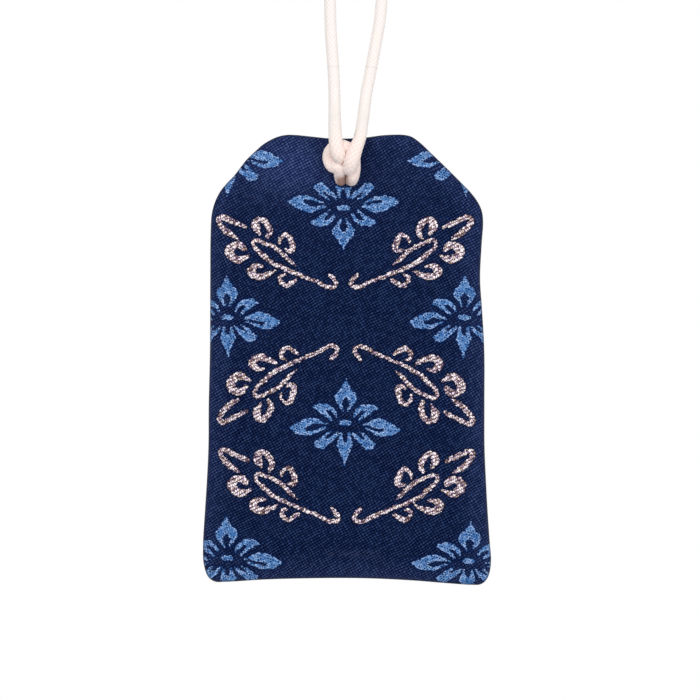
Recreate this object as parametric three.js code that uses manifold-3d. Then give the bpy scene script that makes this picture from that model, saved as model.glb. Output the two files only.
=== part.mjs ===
// Omamori charm: a flat brocade pouch, stiffened with card and lightly padded, that carries a wooden
// slip in a paper sleeve and hangs on a loop of round braided cord.
// Millimetres, +Z up. The origin is the top of the loop, where the charm hangs. The front faces -Y.
import * as THREE from "three";
import { mergeVertices } from "three/addons/utils/BufferGeometryUtils.js";
import Module from "manifold-3d";

const wasm = await Module();
wasm.setup();

// Pouch outline
const BAG_HEIGHT = 75;
const MOUTH_WIDTH = 23.4;
const MOUTH_DIP = 0.65;
const SHOULDER_WIDTH = 45;
const SHOULDER_DROP = 11.5;
const WAIST_WIDTH = 44.4;
const WAIST_DROP = 34;
const WAIST_RUN = 17;
const FOOT_WIDTH = 48;
const FOOT_HOLLOW = 1.3;
const CORNER_RUN = 3.2;
const EDGE_BLEND = 10;

// Layers of the pouch, and the gap left between neighbours
const GAP = 0.3;
const CLOTH = 0.5;
const CARD = 0.8;
const WADDING = 1.4;
const PAPER = 0.2;
const SLIP = 0.7;
const SLIP_PLAY = 0.25;
const THREAD_RADIUS = 0.25;
const SEAM_GAP = 0.25;

// How the layers lie inside the outline
const CROWN_RUN = 6;
const MOUTH_CROWN = 1.6;
const MOUTH_RUN = 1.5;
const MOUTH_MARGIN = 1;
const MOUTH_TAPER = 14;
const SEAM_INSET = 0.75;
const CARD_INSET = 2.5;
const WADDING_INSET = 5;
const WADDING_DROP = 15;
const WADDING_CORNER = 3;
const SLEEVE_INSET = 8.2;
const SLEEVE_CORNER = 0.6;
const SLIP_PEAK = 5;

// Cord hole
const HOLE_DROP = 7.2;
const HOLE_WIDTH = 4.4;
const HOLE_HEIGHT = 2.7;

// Cord
const LOOP_DROP = 44;
const STRAND_RADIUS = 0.95;
const HITCH_RADIUS = 0.8;
const PIVOT_HEIGHT = 9;
const TURN_HEIGHT = 23;
const TURN_GAP = 0.3;
const KNOT_RADIUS = 3.3;
const KNOT_BOTTOM = 1.85;
const KNOT_HEIGHT = 5.8;
const KNOT_ROUND = 1.6;
const TAIL_LENGTH = 7.6;

// Fineness of the curved pieces
const SIDES = 8;
const CORNER_STEPS = 4;
const ROW_STEP = 4;
const ACROSS = 14;
const KNOT_TURNS = 24;
const SEAM_STEPS = 56;
const HITCH_STEPS = 112;

// Crowns that follow from the layers, measured from the card's middle plane
const EDGE_CROWN = CLOTH + SEAM_GAP + THREAD_RADIUS;
const SLEEVE = SLIP + 2 * (SLIP_PLAY + PAPER);
const FRONT_CROWN = CARD / 2 + GAP + WADDING + GAP + CLOTH;
const BACK_CROWN = CARD / 2 + GAP + SLEEVE + GAP + CLOTH;
const MOUTH_FLAT = HOLE_DROP + HOLE_HEIGHT / 2 + MOUTH_MARGIN;
const FRONT = -1;
const BACK = 1;

const { clamp, smoothstep } = THREE.MathUtils;
const columns = Array.from({ length: ACROSS + 1 }, (_, j) =>
  Math.sin((Math.PI / 2) * ((2 * j) / ACROSS - 1)),
);

// The right half of an outline as rows of half width and height, from its top edge down to its foot
function halfOutline(corners) {
  const last = corners.length - 1;
  const towards = (a, b, run) => {
    const from = new THREE.Vector2(a.x, a.z);
    const to = new THREE.Vector2(b.x, b.z);
    return from.add(to.sub(from).setLength(run));
  };
  const path = new THREE.Path();
  corners.forEach((corner, k) => {
    const above = k > 0 ? corners[k - 1] : { x: 0, z: corner.z };
    const below = k < last ? corners[k + 1] : { x: 0, z: corner.z };
    const enter = towards(corner, above, corner.run);
    const leave = towards(corner, below, corner.run);
    if (k > 0) path.lineTo(enter.x, enter.y);
    else path.moveTo(enter.x, enter.y);
    path.quadraticCurveTo(corner.x, corner.z, leave.x, leave.y);
  });
  const rows = [];
  for (const point of path.getPoints(CORNER_STEPS)) {
    const before = rows.at(-1);
    const pieces = before ? Math.ceil((before.y - point.y) / ROW_STEP) : 1;
    for (let piece = 1; piece < pieces; piece++)
      rows.push(before.clone().lerp(point, piece / pieces));
    rows.push(point);
  }
  return rows;
}

const bagRows = halfOutline([
  { x: MOUTH_WIDTH / 2, z: 0, run: CORNER_RUN },
  { x: SHOULDER_WIDTH / 2, z: -SHOULDER_DROP, run: CORNER_RUN },
  { x: WAIST_WIDTH / 2, z: -WAIST_DROP, run: WAIST_RUN },
  { x: FOOT_WIDTH / 2, z: -BAG_HEIGHT, run: CORNER_RUN },
]);

function halfWidthAt(z) {
  const next = bagRows.findIndex((row) => row.y <= z);
  if (next < 1) return bagRows.at(next).x;
  const above = bagRows[next - 1];
  const below = bagRows[next];
  return above.x + ((below.x - above.x) * (above.y - z)) / (above.y - below.y);
}

// The mouth edge dips and the foot edge is hollow in the middle
function edgeShift(across, z) {
  const middle = 1 - across * across;
  const nearMouth = 1 - smoothstep(-z, 0, EDGE_BLEND);
  const nearFoot = 1 - smoothstep(z + BAG_HEIGHT, 0, EDGE_BLEND);
  return middle * (FOOT_HOLLOW * nearFoot - MOUTH_DIP * nearMouth);
}

// How far the cloth's outer face stands off the middle plane
function standOff(x, z, crown) {
  const belowMouth = smoothstep(-z, MOUTH_FLAT, MOUTH_FLAT + MOUTH_TAPER);
  const full = MOUTH_CROWN + (crown - MOUTH_CROWN) * belowMouth;
  const rise = (distance, run) => Math.sin((Math.PI / 2) * clamp(distance / run, 0, 1));
  const share = Math.min(
    rise(halfWidthAt(z) - Math.abs(x), CROWN_RUN),
    rise(z + BAG_HEIGHT, CROWN_RUN),
    rise(-z, MOUTH_RUN),
  );
  return EDGE_CROWN + (full - EDGE_CROWN) * share;
}

// A crowned solid between an outer and an inner face, over rows of half width and height
function pillow(rows, side, outer, inner) {
  const position = [];
  const index = [];
  for (const face of [outer, inner])
    for (const { x: half, y: z } of rows)
      for (const across of columns)
        position.push(across * half, side * face(across * half, z), z + edgeShift(across, z));
  const wide = columns.length;
  const sheet = rows.length * wide;
  const quad = (a, b, c, d) => index.push(a, b, c, a, c, d);
  for (let i = 0; i < rows.length - 1; i++)
    for (let j = 0; j < ACROSS; j++) {
      const a = i * wide + j;
      quad(a, a + 1, a + 1 + wide, a + wide);
      quad(sheet + a, sheet + a + wide, sheet + a + 1 + wide, sheet + a + 1);
    }
  const rim = [];
  for (let j = 0; j < ACROSS; j++) rim.push(j);
  for (let i = 0; i < rows.length - 1; i++) rim.push(i * wide + ACROSS);
  for (let j = ACROSS; j > 0; j--) rim.push(sheet - wide + j);
  for (let i = rows.length - 1; i > 0; i--) rim.push(i * wide);
  rim.forEach((p, k) => {
    const q = rim[(k + 1) % rim.length];
    quad(p, p + sheet, q + sheet, q);
  });
  if (side === FRONT) index.reverse();
  const geometry = new THREE.BufferGeometry();
  geometry.setAttribute("position", new THREE.Float32BufferAttribute(position, 3));
  geometry.setIndex(index);
  return geometry;
}

function solidOf(geometry) {
  const bare = geometry.clone();
  bare.deleteAttribute("normal");
  bare.deleteAttribute("uv");
  const merged = mergeVertices(bare);
  return new wasm.Manifold(
    new wasm.Mesh({
      numProp: 3,
      vertProperties: merged.attributes.position.array,
      triVerts: new Uint32Array(merged.index.array),
    }),
  );
}

function geometryOf(solid) {
  const { vertProperties, triVerts } = solid.getMesh();
  const geometry = new THREE.BufferGeometry();
  geometry.setAttribute("position", new THREE.BufferAttribute(vertProperties, 3));
  geometry.setIndex(new THREE.BufferAttribute(triVerts, 1));
  return geometry;
}

const cut = (geometry, tool) => geometryOf(solidOf(geometry).subtract(solidOf(tool)));
const join = (geometry, other) => geometryOf(solidOf(geometry).add(solidOf(other)));

// A flat plate in the plane of the pouch, with its middle at the given depth
function plate(shape, thickness, depth) {
  const geometry = new THREE.ExtrudeGeometry(shape, {
    depth: thickness,
    bevelEnabled: false,
    curveSegments: CORNER_STEPS,
  });
  geometry.rotateX(Math.PI / 2);
  geometry.translate(0, depth + thickness / 2, 0);
  return geometry;
}

// A round cord along hand-placed points, with a ball at an end that turns against a neighbour
function tube(points, radius, steps, ballAt) {
  const section = new THREE.Shape();
  for (let k = 0; k < SIDES; k++) {
    const angle = (2 * Math.PI * k) / SIDES;
    const corner = new THREE.Vector2(Math.cos(angle), Math.sin(angle)).multiplyScalar(radius);
    if (k > 0) section.lineTo(corner.x, corner.y);
    else section.moveTo(corner.x, corner.y);
  }
  const route = new THREE.CatmullRomCurve3(points.map((point) => new THREE.Vector3(...point)));
  const run = new THREE.ExtrudeGeometry(section, { steps, bevelEnabled: false, extrudePath: route });
  if (!ballAt) return run;
  const ball = new THREE.SphereGeometry(radius, SIDES, SIDES / 2);
  ball.rotateX(Math.PI / 2);
  ball.translate(...ballAt);
  return join(run, ball);
}

const fabric = (color) => new THREE.MeshStandardMaterial({ color, roughness: 0.7, metalness: 0 });
const brocade = fabric(0x171c4b);
const braid = fabric(0xeddad3);
const thread = fabric(0x10143a);
const cotton = fabric(0xe9e5db);
const paper = fabric(0xf1ede2);
const board = fabric(0xc9bfa9);
const wood = fabric(0xd8b88a);

function piece(group, name, geometry, material) {
  const mesh = new THREE.Mesh(geometry, material);
  mesh.name = name;
  group.add(mesh);
}

const charm = new THREE.Group();
// The pouch and its cord are drawn from the middle of the mouth, the loop's drop below the origin
const pouch = new THREE.Group();
pouch.position.z = -LOOP_DROP;
charm.add(pouch);

// Brocade panels with the cord hole
function stadium(width, height, z) {
  const shape = new THREE.Shape();
  const run = (width - height) / 2;
  shape.absarc(run, z, height / 2, -Math.PI / 2, Math.PI / 2);
  shape.absarc(-run, z, height / 2, Math.PI / 2, (3 * Math.PI) / 2);
  return shape;
}
const hole = stadium(HOLE_WIDTH, HOLE_HEIGHT, -HOLE_DROP);
const holePunch = plate(hole, 2 * (FRONT_CROWN + BACK_CROWN), 0);

function panel(side, crown) {
  const outer = (x, z) => standOff(x, z, crown);
  const inner = (x, z) => standOff(x, z, crown) - CLOTH;
  return cut(pillow(bagRows, side, outer, inner), holePunch);
}
piece(pouch, "front_panel", panel(FRONT, FRONT_CROWN), brocade);
piece(pouch, "back_panel", panel(BACK, BACK_CROWN), brocade);

// The pouch's edge, point by point, and the same edge drawn in towards the pouch's middle line
const spineTop = -MOUTH_WIDTH;
const spineFoot = -BAG_HEIGHT + FOOT_WIDTH / 2;
function drawnIn(point, inset) {
  const spine = new THREE.Vector2(0, clamp(point.y, spineFoot, spineTop));
  return point.clone().add(spine.sub(point).setLength(inset));
}
function crossEdge(row) {
  const inside = columns.slice(1, -1);
  return inside.map((across) => new THREE.Vector2(across * row.x, row.y + edgeShift(across, row.y)));
}
const sidesAndFoot = [
  ...bagRows,
  ...crossEdge(bagRows.at(-1)).reverse(),
  ...bagRows.toReversed().map((row) => new THREE.Vector2(-row.x, row.y)),
];
const wholeEdge = [...sidesAndFoot, ...crossEdge(bagRows[0])];

// Seam thread down one side, along the foot and up the other side, between the panels' rims
const seamEdge = sidesAndFoot.slice(1, -1).map((point) => drawnIn(point, SEAM_INSET));
const seamRoute = seamEdge.map((point) => [point.x, 0, point.y]);
piece(pouch, "seam_thread", tube(seamRoute, THREAD_RADIUS, SEAM_STEPS), thread);

// Stiffener card, inside the panels, with the same hole
const cardShape = new THREE.Shape(wholeEdge.map((point) => drawnIn(point, CARD_INSET)));
cardShape.holes.push(hole);
piece(pouch, "stiffener_card", plate(cardShape, CARD, 0), board);

// Wadding between the card and the front cloth
const waddingRows = halfOutline([
  { x: WAIST_WIDTH / 2 - WADDING_INSET, z: -WADDING_DROP, run: WADDING_CORNER },
  {
    x: WAIST_WIDTH / 2 - WADDING_INSET,
    z: -BAG_HEIGHT + FOOT_HOLLOW + WADDING_INSET,
    run: WADDING_CORNER,
  },
]);
const waddingOuter = (x, z) => standOff(x, z, FRONT_CROWN) - CLOTH - GAP;
const waddingInner = () => CARD / 2 + GAP;
piece(pouch, "front_wadding", pillow(waddingRows, FRONT, waddingOuter, waddingInner), cotton);

// Paper sleeve behind the card, open at both ends, and the wooden slip inside it
const sleeveTop = -(MOUTH_FLAT + MOUTH_TAPER);
const sleeveFoot = -BAG_HEIGHT + FOOT_HOLLOW + CROWN_RUN;
const sleeveHalf = WAIST_WIDTH / 2 - SLEEVE_INSET;
const sleeveDepth = CARD / 2 + GAP + SLEEVE / 2;

function roundedBox(half, halfThickness, round) {
  const shape = new THREE.Shape();
  shape.moveTo(half - round, -halfThickness);
  shape.quadraticCurveTo(half, -halfThickness, half, 0);
  shape.quadraticCurveTo(half, halfThickness, half - round, halfThickness);
  shape.lineTo(round - half, halfThickness);
  shape.quadraticCurveTo(-half, halfThickness, -half, 0);
  shape.quadraticCurveTo(-half, -halfThickness, round - half, -halfThickness);
  return shape;
}
const sleeveShape = roundedBox(sleeveHalf, SLEEVE / 2, SLEEVE_CORNER);
sleeveShape.holes.push(roundedBox(sleeveHalf - PAPER, SLEEVE / 2 - PAPER, SLEEVE_CORNER));
const sleeve = new THREE.ExtrudeGeometry(sleeveShape, {
  depth: sleeveTop - sleeveFoot,
  bevelEnabled: false,
  curveSegments: CORNER_STEPS,
});
sleeve.translate(0, sleeveDepth, sleeveFoot);
piece(pouch, "slip_wrapper", sleeve, paper);

const slipHalf = sleeveHalf - SLEEVE_CORNER - PAPER - SLIP_PLAY;
const slipTop = sleeveTop - SLIP_PLAY;
const slipFoot = sleeveFoot + SLIP_PLAY;
const slipShape = new THREE.Shape();
slipShape.moveTo(-slipHalf, slipFoot);
slipShape.lineTo(slipHalf, slipFoot);
slipShape.lineTo(slipHalf, slipTop - SLIP_PEAK);
slipShape.lineTo(0, slipTop);
slipShape.lineTo(-slipHalf, slipTop - SLIP_PEAK);
piece(pouch, "inner_slip", plate(slipShape, SLIP, sleeveDepth), wood);

// Hitch: down the front, in through the doubled ring, over the mouth, and out again through the hole
const hitchRoute = [
  [-1.97, 0, 7.75],
  [-2.0, -0.5, 5.6],
  [-2.0, -2.1, 3.2],
  [-1.9, -4.1, 1.3],
  [-1.85, -5.6, -0.6],
  [-1.65, -6.05, -2.6],
  [-1.5, -5.4, -4.3],
  [-1.35, -4.0, -5.1],
  [-1.3, -2.8, -4.2],
  [-1.5, -2.55, -2.4],
  [-1.7, -2.3, -0.2],
  [-1.75, -1.6, 0.75],
  [-1.75, 0, 1.2],
  [-1.7, 1.6, 0.75],
  [-1.5, 2.6, -0.9],
  [-1.25, 2.75, -3.4],
  [-1.05, 2.65, -5.6],
  [-0.95, 1.9, -6.95],
  [-0.95, 0, -7.3],
  [-1.0, -1.9, -7.15],
  [-1.75, -2.85, -6.85],
  [-2.85, -3.05, -5.7],
  [-3.15, -3.3, -3.9],
  [-2.75, -3.9, -2.4],
  [-1.5, -4.27, -1.75],
  [0, -4.35, -1.7],
  [1.2, -4.25, -1.9],
  [1.98, -3.9, -3.0],
  [2.1, -3.3, -4.7],
  [1.9, -3.05, -6.0],
  [1.45, -2.7, -6.95],
  [1.0, -1.9, -7.2],
  [0.95, 0, -7.3],
  [0.95, 1.9, -6.95],
  [1.05, 2.65, -5.6],
  [1.25, 2.75, -3.4],
  [1.6, 2.6, -0.9],
  [1.85, 1.6, 0.75],
  [1.9, 0, 1.2],
  [1.8, -1.6, 0.75],
  [1.4, -2.3, -0.2],
  [0.9, -2.55, -2.4],
  [0.5, -2.8, -4.2],
  [0.4, -4.0, -5.1],
  [0.8, -5.4, -4.3],
  [1.45, -6.05, -2.6],
  [2.15, -5.6, -0.6],
  [2.5, -4.1, 1.3],
  [2.85, -2.1, 3.2],
  [3.2, -0.5, 5.6],
  [3.55, 0, 7.75],
];
piece(pouch, "cord_hitch", tube(hitchRoute, HITCH_RADIUS, HITCH_STEPS), braid);

// Strands of the loop, parted at the height where the cord twists, each resting on a ball where it bends
const lowerEnd = TURN_HEIGHT - TURN_GAP / 2;
const upperStart = TURN_HEIGHT + TURN_GAP / 2;
const strandRoutes = {
  left_strand_lower: [
    [-2.0, 0, PIVOT_HEIGHT],
    [-2.2, 0, 12.5],
    [-2.45, 0, 15.8],
    [-2.6, 0, 19.2],
    [-2.65, 0, 22],
    [-2.65, 0, lowerEnd],
  ],
  right_strand_lower: [
    [3.85, 0, PIVOT_HEIGHT],
    [4.5, 0, 12.5],
    [5.07, 0, 15.8],
    [5.65, 0, 19.2],
    [5.95, 0, 22],
    [5.95, 0, lowerEnd],
  ],
  left_strand_upper: [
    [-1.0, 0, LOOP_DROP],
    [-1.4, 0, 40],
    [-2.2, 0, 34],
    [-2.6, 0, 28],
    [-2.65, 0, 24],
    [-2.65, 0, upperStart],
  ],
  right_strand_upper: [
    [1.0, 0, LOOP_DROP],
    [2.3, 0, 40],
    [4.4, 0, 35],
    [5.7, 0, 30],
    [5.95, 0, 26],
    [5.95, 0, upperStart],
  ],
};
for (const [name, route] of Object.entries(strandRoutes))
  piece(pouch, name, tube(route, STRAND_RADIUS, route.length, route[0]), braid);

// End knot, turned about the hanging line, and the cord's two tails above it
const knotTop = KNOT_BOTTOM + KNOT_HEIGHT;
const knotHalf = new THREE.Path();
knotHalf.moveTo(0, KNOT_BOTTOM);
knotHalf.lineTo(KNOT_RADIUS - KNOT_ROUND, KNOT_BOTTOM);
knotHalf.quadraticCurveTo(KNOT_RADIUS, KNOT_BOTTOM, KNOT_RADIUS, KNOT_BOTTOM + KNOT_ROUND);
knotHalf.lineTo(KNOT_RADIUS, knotTop - KNOT_ROUND);
knotHalf.quadraticCurveTo(KNOT_RADIUS, knotTop, KNOT_RADIUS - KNOT_ROUND, knotTop);
knotHalf.lineTo(0, knotTop);
const knot = new THREE.LatheGeometry(knotHalf.getPoints(CORNER_STEPS), KNOT_TURNS);
knot.rotateX(Math.PI / 2);
piece(charm, "end_knot", knot, braid);

const tailFoot = knotTop + GAP;
const tailTop = tailFoot + TAIL_LENGTH;
const tailRoutes = {
  left_tail: [
    [-1.15, 0, tailFoot],
    [-1.2, 0, tailFoot + 2],
    [-1.9, -0.2, tailTop],
  ],
  right_tail: [
    [1.15, 0, tailFoot],
    [1.2, 0, tailFoot + 2],
    [1.9, 0.3, tailTop],
  ],
};
for (const [name, route] of Object.entries(tailRoutes))
  piece(charm, name, tube(route, STRAND_RADIUS, route.length, null), braid);

export default charm;
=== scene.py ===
"""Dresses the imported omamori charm: a brocade pouch that hangs on a loop of braided cord.

Lengths are in millimetres, and become metres where a mesh is made. The pouch and the cord are
measured from the middle of the pouch's mouth line: x to the right, y to the back, z upwards.
"""

import math

import bmesh
import bpy
import numpy as np
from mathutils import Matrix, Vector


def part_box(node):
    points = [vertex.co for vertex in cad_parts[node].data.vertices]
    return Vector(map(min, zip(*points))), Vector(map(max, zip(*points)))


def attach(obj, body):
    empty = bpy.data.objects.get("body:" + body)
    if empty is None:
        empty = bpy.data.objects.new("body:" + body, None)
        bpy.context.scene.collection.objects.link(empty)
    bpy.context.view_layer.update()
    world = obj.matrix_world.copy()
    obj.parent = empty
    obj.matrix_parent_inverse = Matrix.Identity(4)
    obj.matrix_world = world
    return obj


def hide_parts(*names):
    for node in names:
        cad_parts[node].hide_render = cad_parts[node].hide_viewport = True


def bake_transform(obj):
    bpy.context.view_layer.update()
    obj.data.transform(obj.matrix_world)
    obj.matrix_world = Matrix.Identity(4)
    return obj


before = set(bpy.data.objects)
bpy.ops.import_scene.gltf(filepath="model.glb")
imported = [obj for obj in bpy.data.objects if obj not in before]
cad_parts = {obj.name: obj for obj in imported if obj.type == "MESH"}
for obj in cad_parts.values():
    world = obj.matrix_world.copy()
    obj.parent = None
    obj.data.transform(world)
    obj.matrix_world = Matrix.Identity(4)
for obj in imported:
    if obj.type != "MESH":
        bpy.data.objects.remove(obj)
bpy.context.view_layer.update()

MM = 0.001
MOUTH_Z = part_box("front_panel")[1].z / MM
MOUTH = np.array([0, 0, MOUTH_Z])
FRONT_CROWN = -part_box("front_panel")[0].y / MM
BACK_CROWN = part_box("back_panel")[1].y / MM


# Camera

PHOTO_WIDTH = 116.67  # what the photograph spans at the pouch
PHOTO_MIDDLE = (0.67, -35.83)  # x and z at its middle
OUTLINE_PLANE = 0.6  # how far in front of the middle plane the pouch's outline shows
LENS, SENSOR = 180.0, 36.0

camera = bpy.data.objects.new("camera", bpy.data.cameras.new("camera"))
bpy.context.collection.objects.link(camera)
camera.data.lens = LENS
camera.data.sensor_width = SENSOR
camera.location = (
    PHOTO_MIDDLE[0] * MM,
    -(PHOTO_WIDTH * LENS / SENSOR + OUTLINE_PLANE) * MM,
    (PHOTO_MIDDLE[1] + MOUTH_Z) * MM,
)
camera.rotation_euler = (math.pi / 2, 0, 0)
bpy.context.scene.camera = camera


# Lines and meshes


def smoothstep(low, high, value):
    share = np.clip((value - low) / (high - low), 0, 1)
    return share * share * (3 - 2 * share)


def rounded(distance, run):
    """A quarter-round rise from 0 at an edge to 1 at the end of the run."""
    return np.sin(np.pi / 2 * np.clip(distance / run, 0, 1))


def unit(vectors):
    vectors = np.asarray(vectors, float)
    return vectors / np.linalg.norm(vectors, axis=-1, keepdims=True)


LINE_SPAN, STROKE_SPAN = 24, 6  # points to each span of a smooth line, and of a motif's stroke


def smooth_line(points, per_span, closed=False):
    """Points along a centripetal Catmull-Rom curve that goes through the given ones."""
    p = np.asarray(points, float)
    if closed:
        p = np.vstack([p[-1], p, p[:2]])
    else:
        p = np.vstack([2 * p[0] - p[1], p, 2 * p[-1] - p[-2]])
    spans = []
    for a, b, c, d in zip(p, p[1:], p[2:], p[3:]):
        t1 = np.linalg.norm(b - a) ** 0.5
        t2 = t1 + np.linalg.norm(c - b) ** 0.5
        t3 = t2 + np.linalg.norm(d - c) ** 0.5
        t = np.linspace(t1, t2, per_span, endpoint=False)[:, None]
        ab = (a * (t1 - t) + b * t) / t1
        bc = (b * (t2 - t) + c * (t - t1)) / (t2 - t1)
        cd = (c * (t3 - t) + d * (t - t2)) / (t3 - t2)
        abc = (ab * (t2 - t) + bc * t) / t2
        bcd = (bc * (t3 - t) + cd * (t - t1)) / (t3 - t1)
        spans.append((abc * (t2 - t) + bcd * (t - t1)) / (t2 - t1))
    if not closed:
        spans.append(p[-2:-1])
    return np.vstack(spans)


def length_along(line, axes=3):
    steps = np.linalg.norm(np.diff(line[:, :axes], axis=0), axis=1)
    return np.concatenate([[0], np.cumsum(steps)])


def evenly(line, count, axes=3):
    """The line again, as count points at equal steps; columns past the axes ride along."""
    along = length_along(line, axes)
    wanted = np.linspace(0, along[-1], count)
    return np.column_stack([np.interp(wanted, along, column) for column in line.T])


def band(ring, following):
    """Faces between two rings of points."""
    return np.column_stack([ring, np.roll(ring, -1), np.roll(following, -1), following]).tolist()


def make_piece(name, points, faces, material, values=None, bake_map=None):
    """A mesh piece from points in mm from the mouth line. values are attributes per point,
    bake_map a place on the unit square for each face corner."""
    mesh = bpy.data.meshes.new(name)
    mesh.from_pydata(((points + MOUTH) * MM).tolist(), [], faces)
    for key, value in (values or {}).items():
        value = np.asarray(value, np.float32)
        kind, field = ("FLOAT_VECTOR", "vector") if value.ndim == 2 else ("FLOAT", "value")
        mesh.attributes.new(key, kind, "POINT").data.foreach_set(field, value.ravel())
    if bake_map is not None:
        layer = mesh.uv_layers.new(name="OFBake")
        layer.data.foreach_set("uv", np.asarray(bake_map, np.float32).ravel())
    work = bmesh.new()
    work.from_mesh(mesh)
    bmesh.ops.recalc_face_normals(work, faces=work.faces)
    work.to_mesh(mesh)
    work.free()
    mesh.polygons.foreach_set("use_smooth", [True] * len(mesh.polygons))
    mesh.materials.append(material)
    piece = bpy.data.objects.new(name, mesh)
    bpy.context.collection.objects.link(piece)
    return piece


# Materials


def srgb(red, green, blue):
    """A colour from 0-255 sRGB, as the linear values that shaders take."""
    share = np.array([red, green, blue]) / 255
    linear = np.where(share <= 0.04045, share / 12.92, ((share + 0.055) / 1.055) ** 2.4)
    return (*linear.tolist(), 1.0)


class Paint:
    """Writes the nodes of one material, or of the world."""

    def __init__(self, owner, shader="Principled BSDF"):
        owner.use_nodes = True
        self.owner = owner
        self.tree = owner.node_tree
        self.shader = self.tree.nodes[shader]

    def feed(self, socket, value):
        if isinstance(value, bpy.types.NodeSocket):
            self.tree.links.new(value, socket)
        else:
            socket.default_value = value

    def node(self, kind, inputs=None, **settings):
        """Adds a node and gives its outputs."""
        made = self.tree.nodes.new("ShaderNode" + kind)
        for key, value in settings.items():
            setattr(made, key, value)
        for socket, value in (inputs or {}).items():
            self.feed(made.inputs[socket], value)
        return made.outputs

    def shade(self, **inputs):
        """Sets the shader's sockets; Base_Color stands for Base Color."""
        for socket, value in inputs.items():
            self.feed(self.shader.inputs[socket.replace("_", " ")], value)

    def math(self, operation, *values):
        return self.node("Math", dict(enumerate(values)), operation=operation)[0]

    def times(self, first, *others):
        for other in others:
            first = self.math("MULTIPLY", first, other)
        return first

    def attribute(self, name, field="Fac"):
        return self.node("Attribute", attribute_name=name)[field]

    def step(self, value, low, high, to_low=0.0, to_high=1.0):
        limits = {"From Min": low, "From Max": high, "To Min": to_low, "To Max": to_high}
        return self.node("MapRange", {"Value": value, **limits}, interpolation_type="SMOOTHSTEP")[0]

    def mix(self, share, first, second):
        """A colour between two, by ShaderNodeMix's sockets for colours."""
        return self.node("Mix", {0: share, 6: first, 7: second}, data_type="RGBA")[2]

    def noise(self, place, scale, detail=2.0, stretch=(1, 1, 1)):
        if stretch != (1, 1, 1):
            place = self.node("Mapping", {"Vector": place, "Scale": stretch})[0]
        return self.node("TexNoise", {"Vector": place, "Scale": scale, "Detail": detail})[0]

    def wobble(self, place, scale, reach):
        """The place moved about by up to the reach, as threads wander in a weave."""
        colour = self.node("TexNoise", {"Vector": place, "Scale": scale, "Detail": 2.0})[1]
        shift = self.node("VectorMath", {0: colour, 1: (0.5, 0.5, 0.5)}, operation="SUBTRACT")[0]
        moved = {0: shift, 1: (2 * reach, 2 * reach, 0), 2: place}
        return self.node("VectorMath", moved, operation="MULTIPLY_ADD")[0]

    def lattice(self, place, pitch, slant=0.0, shift=0.5, start=0.0, run=0.0):
        """Cells of that pitch, each row shifted, that start at that share of a cell. Gives each
        cell a random number of its own, and how near its middle a point is, from 1 there to 0
        at the edge, or to the share run at its ends."""
        turn = {"Vector": place, "Rotation": (0, 0, math.radians(slant)), "Scale": (*pitch, 1)}
        cell = self.node("Mapping", turn, vector_type="TEXTURE")[0]
        sides = self.node("SeparateXYZ", {"Vector": cell})
        x, y = [self.math("ADD", sides[axis], start) for axis in ("X", "Y")]
        row = self.math("FLOOR", y)
        x = self.math("MULTIPLY_ADD", row, shift, x)
        key = self.node("CombineXYZ", {"X": self.math("FLOOR", x), "Y": row})[0]
        chance = self.node("TexWhiteNoise", {"Vector": key}, noise_dimensions="2D")[0]
        middle = []
        for place_in_cell in (x, y):
            off = self.math("PINGPONG", place_in_cell, 0.5)
            middle.append(self.math("SINE", self.times(off, math.pi)))
        middle[0] = self.math("MULTIPLY_ADD", middle[0], 1 - run, run)
        return chance, self.times(*middle)

    def bump(self, height, depth):
        """Bump whose height from 0 to 1 stands for that depth in mm."""
        self.shade(Normal=self.node("Bump", {"Height": height, "Distance": depth * MM})[0])


# Braid colours; the pink pair is a warm painted shade on the knotted braid.
BRAID_COOL, BRAID_PALE, BRAID_WARM_SHADE = srgb(246, 239, 235), srgb(251, 247, 244), srgb(254, 235, 228)
GAP_PALE, GAP_WARM_SHADE = srgb(245, 228, 220), srgb(246, 214, 204)
# The brown of the shade painted on the braid in the hole.
HOLE_SHADE = srgb(166, 130, 116)
BRAID_FIBRE, BRAID_BUMP = 2600, 0.02


def braid_material():
    """Pale braid: relief and the painted shades of the knot and the hole are point attributes from 0 to
    1.
    """
    paint = Paint(bpy.data.materials.new("braid"))
    fibre = paint.noise(paint.node("TexCoord")["Object"], BRAID_FIBRE, 3)
    # Pinker where knotted and browner in the hole, both painted shade.
    warm_shade = paint.attribute("warm_shade")
    crown = paint.mix(warm_shade, paint.mix(fibre, BRAID_COOL, BRAID_PALE), BRAID_WARM_SHADE)
    gap = paint.mix(warm_shade, GAP_PALE, GAP_WARM_SHADE)
    clean = paint.mix(paint.step(paint.attribute("relief"), 0.0, 0.7), gap, crown)
    paint.shade(
        Base_Color=paint.mix(paint.attribute("hole_shade"), clean, HOLE_SHADE),
        Roughness=0.7,
        Sheen_Weight=0.1,
    )
    paint.bump(fibre, BRAID_BUMP)
    return paint.owner


GROUND_DOT, GROUND_NET, GROUND_SPECK = srgb(0, 0, 22), srgb(0, 22, 67), srgb(44, 61, 100)
# Paler ground colours for the painted sheen.
SHEEN_DOT, SHEEN_NET, SHEEN_SPECK = srgb(12, 25, 66), srgb(40, 60, 112), srgb(82, 94, 140)
CREASE_MARK = srgb(72, 74, 112)
BLUE_HOLE, BLUE_DEEP, BLUE = srgb(16, 44, 92), srgb(58, 106, 168), srgb(86, 131, 186)
# Painted glints on the petals.
BLUE_GLINT = srgb(172, 198, 238)
# Gilt: painted shade between the beads, painted glints on them, then two tones of the thread.
GOLD_SHADE, GOLD_GLINT = srgb(54, 40, 56), srgb(255, 247, 250)
GOLD_ROSE, GOLD_OCHRE = srgb(177, 149, 181), srgb(197, 164, 134)
SATIN_TINT = (0.2, 0.35, 1.0, 1.0)
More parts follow.
